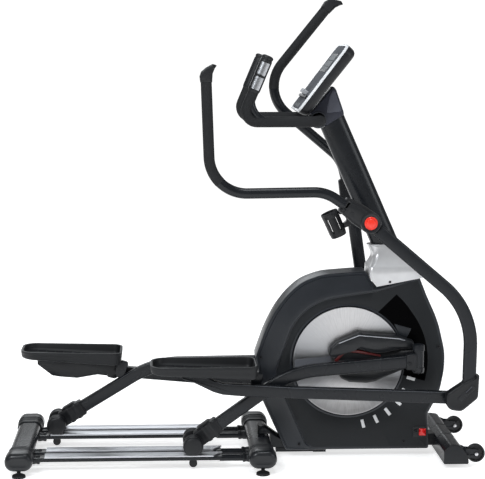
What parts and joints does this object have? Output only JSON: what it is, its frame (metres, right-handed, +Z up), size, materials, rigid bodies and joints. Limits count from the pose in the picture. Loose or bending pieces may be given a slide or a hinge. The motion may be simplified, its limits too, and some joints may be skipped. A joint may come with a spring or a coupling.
{
  "type": "elliptical trainer",
  "caption": "Upright elliptical trainer with a front crank housing, rail-guided pedals, swinging and fixed handlebars, and a tilted console on a leaning mast.",
  "frame": {"origin": "on the floor, under the middle of the overall length and width", "axes": "+X forward, from the rear stabiliser towards the transport wheels; +Y to the user's left; +Z up"},
  "size_m": [1.96, 0.6496, 1.9151],
  "materials": {
    "frame_black": "satin powder coat",
    "cap_plastic": "moulded, fine grain",
    "track_silver": "brushed along the track",
    "collar_silver": "metallic silver lacquer",
    "black_plastic": "moulded, fine grain",
    "leaf_plastic": "moulded, satin",
    "pedal_plastic": "moulded, anti-slip",
    "foam_black": "foam sleeve",
    "sensor_steel": "satin",
    "console_grey": "satin gloss",
    "screen_glass": "dark display",
    "housing_grey": "moulded, satin",
    "screw_black": "black zinc",
    "belt_rubber": "ribbed",
    "axle_steel": "ground",
    "dark_red": "satin",
    "disc_metal": "brushed radially",
    "flywheel_iron": "turned",
    "switch_red": "gloss",
    "button_grey": "satin",
    "foot_black": "matte",
    "tyre_black": "moulded",
    "wheel_black": "polyurethane tread",
    "cap_red": "gloss"
  },
  "bodies": {
    "root": {"main_frame": "frame_black", "rear_stabiliser": "frame_black", "middle_stabiliser": "frame_black", "front_stabiliser": "frame_black", "stabiliser_caps": "cap_plastic", "rail_bars": "frame_black", "rail_tracks": "track_silver", "mast": "frame_black", "mast_collar": "collar_silver", "head_cover": "black_plastic", "fixed_handlebar": "frame_black", "fixed_grips": "foam_black", "sensor_plates": "sensor_steel", "handlebar_clamp": "black_plastic", "console_back": "black_plastic", "console_face": "console_grey", "console_screen": "screen_glass", "bottle_holder": "black_plastic", "pivot_axle": "frame_black", "housing_right": "housing_grey", "housing_left": "housing_grey", "power_panel": "black_plastic", "housing_screws": "screw_black", "transport_axles": "screw_black", "drive_belt": "belt_rubber"},
    "crank": {"crank_axle": "axle_steel", "drive_pulley": "black_plastic", "crank_arms": "frame_black", "crank_covers": "leaf_plastic", "crank_inserts": "dark_red", "crank_discs": "disc_metal"},
    "flywheel": {"flywheel": "flywheel_iron"},
    "power_rocker": {"power_rocker": "switch_red"},
    "button_1": {"console_button_1": "button_grey"},
    "button_2": {"console_button_2": "button_grey"},
    "button_3": {"console_button_3": "button_grey"},
    "foot_rear_right": {"foot_rear_right": "foot_black"},
    "foot_rear_left": {"foot_rear_left": "foot_black"},
    "foot_middle_right": {"foot_middle_right": "foot_black"},
    "foot_middle_left": {"foot_middle_left": "foot_black"},
    "transport_right": {"transport_wheel_right": "tyre_black"},
    "transport_left": {"transport_wheel_left": "tyre_black"},
    "right_carriage": {"roller_axle_right": "axle_steel"},
    "right_wheels": {"roller_wheels_right": "wheel_black"},
    "right_tube": {"roller_tube_right": "frame_black", "roller_cover_right": "black_plastic"},
    "right_link": {"pedal_link_right": "frame_black", "pedal_right": "pedal_plastic"},
    "right_arm": {"swing_arm_right": "frame_black", "swing_covers_right": "black_plastic", "swing_cap_right": "cap_red"},
    "left_carriage": {"roller_axle_left": "axle_steel"},
    "left_wheels": {"roller_wheels_left": "wheel_black"},
    "left_tube": {"roller_tube_left": "frame_black", "roller_cover_left": "black_plastic"},
    "left_link": {"pedal_link_left": "frame_black", "pedal_left": "pedal_plastic"},
    "left_arm": {"swing_arm_left": "frame_black", "swing_covers_left": "black_plastic", "swing_cap_left": "cap_red"}
  },
  "joints": [
    {"name": "crank_turn", "type": "hinge", "parent": "root", "child": "crank", "pos_m": [0.429, 0, 0.4127], "axis": [0, 1, 0], "range_deg": [0, 180]},
    {"name": "flywheel_turn", "type": "hinge", "parent": "root", "child": "flywheel", "pos_m": [0.62, 0, 0.255], "axis": [0, 1, 0], "range_deg": [-1, 937]},
    {"name": "right_carriage_slide", "type": "slide", "parent": "root", "child": "right_carriage", "axis": [1, 0, 0], "range_m": [-0.58104, 0.0006]},
    {"name": "right_wheels_turn", "type": "hinge", "parent": "right_carriage", "child": "right_wheels", "pos_m": [-0.2203, 0, 0.1], "axis": [0, 1, 0], "range_deg": [-932.55, 1]},
    {"name": "right_tube_tilt", "type": "hinge", "parent": "right_carriage", "child": "right_tube", "pos_m": [-0.2203, 0, 0.1], "axis": [0, 1, 0], "range_deg": [-0.05, 4.47]},
    {"name": "right_pedal_link_tilt", "type": "hinge", "parent": "right_tube", "child": "right_link", "pos_m": [0.03438, 0, 0.33154], "axis": [0, 1, 0], "range_deg": [-1.83, 0.05]},
    {"name": "right_arm_swing", "type": "hinge", "parent": "root", "child": "right_arm", "pos_m": [0.4863, 0, 1.0206], "axis": [0, 1, 0], "range_deg": [-0.05, 41.07]},
    {"name": "left_carriage_slide", "type": "slide", "parent": "root", "child": "left_carriage", "axis": [1, 0, 0], "range_m": [-0.0006, 0.58104]},
    {"name": "left_wheels_turn", "type": "hinge", "parent": "left_carriage", "child": "left_wheels", "pos_m": [-0.80073, 0, 0.1], "axis": [0, 1, 0], "range_deg": [-1, 932.55]},
    {"name": "left_tube_tilt", "type": "hinge", "parent": "left_carriage", "child": "left_tube", "pos_m": [-0.80073, 0, 0.1], "axis": [0, 1, 0], "range_deg": [-4.47, 0.05]},
    {"name": "left_pedal_link_tilt", "type": "hinge", "parent": "left_tube", "child": "left_link", "pos_m": [-0.52896, 0, 0.31121], "axis": [0, 1, 0], "range_deg": [-0.05, 1.83]},
    {"name": "left_arm_swing", "type": "hinge", "parent": "root", "child": "left_arm", "pos_m": [0.4863, 0, 1.0206], "axis": [0, 1, 0], "range_deg": [-41.07, 0.05]},
    {"name": "power_rocker_tilt", "type": "hinge", "parent": "root", "child": "power_rocker", "pos_m": [0.748, -0.0685, 0.106], "axis": [1, 0, 0], "range_deg": [-4, 4]},
    {"name": "button_1_press", "type": "slide", "parent": "root", "child": "button_1", "axis": [-0.7965, 0, 0.6046], "range_m": [-0.0015, 0], "stiffness_N_per_m": 300, "springref_m": 0.0004},
    {"name": "button_2_press", "type": "slide", "parent": "root", "child": "button_2", "axis": [-0.7965, 0, 0.6046], "range_m": [-0.0015, 0], "stiffness_N_per_m": 300, "springref_m": 0.0004},
    {"name": "button_3_press", "type": "slide", "parent": "root", "child": "button_3", "axis": [-0.7965, 0, 0.6046], "range_m": [-0.0015, 0], "stiffness_N_per_m": 300, "springref_m": 0.0004},
    {"name": "foot_rear_right_turn", "type": "hinge", "parent": "root", "child": "foot_rear_right", "pos_m": [-0.923, -0.297, 0.02], "axis": [0, 0, 1], "range_deg": [-360, 360]},
    {"name": "foot_rear_left_turn", "type": "hinge", "parent": "root", "child": "foot_rear_left", "pos_m": [-0.923, 0.297, 0.02], "axis": [0, 0, 1], "range_deg": [-360, 360]},
    {"name": "foot_middle_right_turn", "type": "hinge", "parent": "root", "child": "foot_middle_right", "pos_m": [0.06, -0.297, 0.02], "axis": [0, 0, 1], "range_deg": [-360, 360]},
    {"name": "foot_middle_left_turn", "type": "hinge", "parent": "root", "child": "foot_middle_left", "pos_m": [0.06, 0.297, 0.02], "axis": [0, 0, 1], "range_deg": [-360, 360]},
    {"name": "transport_right_turn", "type": "hinge", "parent": "root", "child": "transport_right", "pos_m": [0.9425, -0.214, 0.056], "axis": [0, 1, 0], "continuous": true},
    {"name": "transport_left_turn", "type": "hinge", "parent": "root", "child": "transport_left", "pos_m": [0.9425, 0.214, 0.056], "axis": [0, 1, 0], "continuous": true}
  ],
  "couplings": [
    {"joint": "flywheel_turn", "follows": "crank_turn", "ratio": 5.2},
    {"joint": "right_carriage_slide", "follows": "crank_turn", "m_per_rad": -0.18476},
    {"joint": "right_wheels_turn", "follows": "crank_turn", "ratio": -5.1753},
    {"joint": "right_tube_tilt", "follows": "crank_turn", "ratio": 0.024567},
    {"joint": "right_pedal_link_tilt", "follows": "crank_turn", "ratio": -0.0098739},
    {"joint": "right_arm_swing", "follows": "crank_turn", "ratio": 0.22787},
    {"joint": "left_carriage_slide", "follows": "crank_turn", "m_per_rad": 0.18476},
    {"joint": "left_wheels_turn", "follows": "crank_turn", "ratio": 5.1753},
    {"joint": "left_tube_tilt", "follows": "crank_turn", "ratio": -0.024567},
    {"joint": "left_pedal_link_tilt", "follows": "crank_turn", "ratio": 0.0098739},
    {"joint": "left_arm_swing", "follows": "crank_turn", "ratio": -0.22787}
  ]
}
